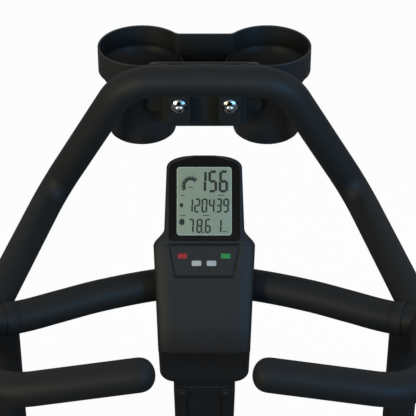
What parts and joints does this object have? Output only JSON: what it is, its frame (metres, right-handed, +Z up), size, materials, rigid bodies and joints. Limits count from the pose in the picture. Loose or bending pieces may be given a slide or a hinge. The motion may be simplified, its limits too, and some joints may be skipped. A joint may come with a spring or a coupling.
{
  "type": "indoor cycling exercise bike",
  "caption": "Upright indoor cycling bike with a looped multi-grip handlebar, twin cup holder, small console, belt drive, flywheel, adjustable seat and levelling feet.",
  "frame": {"origin": "middle of the footprint on the floor", "axes": "+Y the way the rider faces, +X the rider's right, +Z up"},
  "size_m": [0.5286, 1.219, 1.279],
  "materials": {
    "frame_paint": "satin powder coat",
    "end_plastic": "moulded, matt",
    "foot_rubber": "matt",
    "cover_plastic": "fine texture",
    "knob_plastic": "fine texture",
    "belt_rubber": "matt",
    "flywheel_iron": "painted web, turned rim",
    "crank_steel": "dark satin",
    "post_steel": "brushed",
    "chrome": "polished",
    "grip_coat": "soft dipped coat, fine grain",
    "cup_plastic": "semi-gloss",
    "console_plastic": "fine texture",
    "display_gloss": "gloss window",
    "board": "circuit board",
    "saddle_skin": "grained cover, stitched",
    "key_red": "satin",
    "key_green": "satin",
    "key_white": "satin"
  },
  "bodies": {
    "frame": {"front_stabiliser": "frame_paint", "rear_stabiliser": "frame_paint", "base_rail": "frame_paint", "main_beam": "frame_paint", "head_tube": "frame_paint", "seat_tube": "frame_paint", "fork_left": "frame_paint", "fork_right": "frame_paint", "end_cap_front_left": "end_plastic", "end_cap_front_right": "end_plastic", "end_cap_rear_left": "end_plastic", "end_cap_rear_right": "end_plastic", "cover_inner": "cover_plastic", "cover_outer": "cover_plastic", "drive_belt": "belt_rubber"},
    "flywheel": {"flywheel": "flywheel_iron", "flywheel_axle": "post_steel", "flywheel_pulley": "flywheel_iron"},
    "crank": {"crank_axle": "post_steel", "drive_pulley": "flywheel_iron", "crank_arm_left": "crank_steel", "crank_arm_right": "crank_steel"},
    "pedal_left": {"pedal_left": "cover_plastic", "toe_cage_left": "cover_plastic"},
    "pedal_right": {"pedal_right": "cover_plastic", "toe_cage_right": "cover_plastic"},
    "seat_post": {"seat_post": "post_steel"},
    "slider": {"slider_rail": "post_steel"},
    "saddle": {"saddle_clamp": "crank_steel", "saddle_rails": "chrome", "saddle_base": "cover_plastic", "saddle_pad": "saddle_skin"},
    "handlebar": {"handlebar_post": "post_steel", "stem_cover": "cover_plastic", "loop_bar": "grip_coat", "cross_bar": "grip_coat", "support_hoop": "grip_coat", "cup_holder": "cup_plastic", "cup_nut_left": "chrome", "cup_nut_right": "chrome", "console_front": "console_plastic", "console_back": "console_plastic", "display_glass": "display_gloss", "circuit_board": "board"},
    "brake_rod": {"brake_rod": "chrome"},
    "resistance_knob": {"resistance_knob": "knob_plastic"},
    "brake_shoe": {"brake_shoe": "foot_rubber"},
    "bar_pin": {"bar_pin": "knob_plastic"},
    "seat_pin": {"seat_pin": "knob_plastic"},
    "slider_knob": {"slider_knob": "knob_plastic"},
    "key_start": {"key_start": "key_green"},
    "key_reset": {"key_reset": "key_red"},
    "key_down": {"key_down": "key_white"},
    "key_up": {"key_up": "key_white"},
    "transport_wheel_left": {"transport_wheel_left": "foot_rubber"},
    "transport_wheel_right": {"transport_wheel_right": "foot_rubber"},
    "foot_front_left": {"foot_front_left": "foot_rubber"},
    "foot_front_right": {"foot_front_right": "foot_rubber"},
    "foot_rear_left": {"foot_rear_left": "foot_rubber"},
    "foot_rear_right": {"foot_rear_right": "foot_rubber"}
  },
  "joints": [
    {"name": "flywheel_spin", "type": "hinge", "parent": "frame", "child": "flywheel", "pos_m": [0, 0.4, 0.36], "axis": [1, 0, 0], "continuous": true},
    {"name": "crank_spin", "type": "hinge", "parent": "frame", "child": "crank", "pos_m": [0, -0.12265, 0.3419], "axis": [1, 0, 0], "continuous": true},
    {"name": "pedal_spin_left", "type": "hinge", "parent": "crank", "child": "pedal_left", "pos_m": [-0.175, -0.29265, 0.3419], "axis": [1, 0, 0], "continuous": true},
    {"name": "pedal_spin_right", "type": "hinge", "parent": "crank", "child": "pedal_right", "pos_m": [0.175, 0.04735, 0.3419], "axis": [1, 0, 0], "continuous": true},
    {"name": "seat_height", "type": "slide", "parent": "frame", "child": "seat_post", "axis": [0, -0.309, 0.9511], "range_m": [-0.1, 0.11]},
    {"name": "saddle_slide", "type": "slide", "parent": "seat_post", "child": "slider", "axis": [0, 1, 0], "range_m": [-0.04, 0.04]},
    {"name": "saddle_tilt", "type": "hinge", "parent": "slider", "child": "saddle", "pos_m": [0, -0.362, 0.9806], "axis": [1, 0, 0], "range_deg": [-8, 8]},
    {"name": "handlebar_height", "type": "slide", "parent": "frame", "child": "handlebar", "axis": [0, 0, 1], "range_m": [-0.06, 0.05]},
    {"name": "brake_push", "type": "slide", "parent": "frame", "child": "brake_rod", "axis": [0, 0.8191, -0.5736], "range_m": [0, 0.004], "stiffness_N_per_m": 1500, "springref_m": -0.006},
    {"name": "resistance_turn", "type": "hinge", "parent": "brake_rod", "child": "resistance_knob", "pos_m": [0, 0.02729, 0.62098], "axis": [0, -0.8191, 0.5736], "range_deg": [0, 720]},
    {"name": "brake_shoe_feed", "type": "slide", "parent": "brake_rod", "child": "brake_shoe", "axis": [0, 0.8191, -0.5736], "range_m": [0, 0.004]},
    {"name": "bar_pin_pull", "type": "slide", "parent": "frame", "child": "bar_pin", "axis": [0, -1, 0], "range_m": [0, 0.008], "stiffness_N_per_m": 800, "springref_m": -0.004},
    {"name": "seat_pin_pull", "type": "slide", "parent": "frame", "child": "seat_pin", "axis": [0, 0.9511, 0.309], "range_m": [0, 0.008], "stiffness_N_per_m": 800, "springref_m": -0.004},
    {"name": "slider_knob_turn", "type": "hinge", "parent": "seat_post", "child": "slider_knob", "pos_m": [0, -0.284, 0.9], "axis": [0, 0, 1], "range_deg": [-360, 360]},
    {"name": "key_start_press", "type": "slide", "parent": "handlebar", "child": "key_start", "axis": [0, 0.766, -0.6428], "range_m": [0, 0.0008], "stiffness_N_per_m": 300, "springref_m": -0.001},
    {"name": "key_reset_press", "type": "slide", "parent": "handlebar", "child": "key_reset", "axis": [0, 0.766, -0.6428], "range_m": [0, 0.0008], "stiffness_N_per_m": 300, "springref_m": -0.001},
    {"name": "key_down_press", "type": "slide", "parent": "handlebar", "child": "key_down", "axis": [0, 0.766, -0.6428], "range_m": [0, 0.0008], "stiffness_N_per_m": 300, "springref_m": -0.001},
    {"name": "key_up_press", "type": "slide", "parent": "handlebar", "child": "key_up", "axis": [0, 0.766, -0.6428], "range_m": [0, 0.0008], "stiffness_N_per_m": 300, "springref_m": -0.001},
    {"name": "wheel_spin_left", "type": "hinge", "parent": "frame", "child": "transport_wheel_left", "pos_m": [-0.15, 0.582, 0.032], "axis": [1, 0, 0], "continuous": true},
    {"name": "foot_turn_front_left", "type": "hinge", "parent": "frame", "child": "foot_front_left", "pos_m": [-0.205, 0.52, 0.01], "axis": [0, 0, 1], "range_deg": [-360, 720]},
    {"name": "foot_turn_rear_left", "type": "hinge", "parent": "frame", "child": "foot_rear_left", "pos_m": [-0.205, -0.576, 0.01], "axis": [0, 0, 1], "range_deg": [-360, 720]},
    {"name": "wheel_spin_right", "type": "hinge", "parent": "frame", "child": "transport_wheel_right", "pos_m": [0.15, 0.582, 0.032], "axis": [1, 0, 0], "continuous": true},
    {"name": "foot_turn_front_right", "type": "hinge", "parent": "frame", "child": "foot_front_right", "pos_m": [0.205, 0.52, 0.01], "axis": [0, 0, 1], "range_deg": [-360, 720]},
    {"name": "foot_turn_rear_right", "type": "hinge", "parent": "frame", "child": "foot_rear_right", "pos_m": [0.205, -0.576, 0.01], "axis": [0, 0, 1], "range_deg": [-360, 720]}
  ],
  "couplings": [
    {"joint": "crank_spin", "follows": "flywheel_spin", "ratio": 0.3},
    {"joint": "brake_shoe_feed", "follows": "resistance_turn", "m_per_rad": 0.00031799}
  ]
}
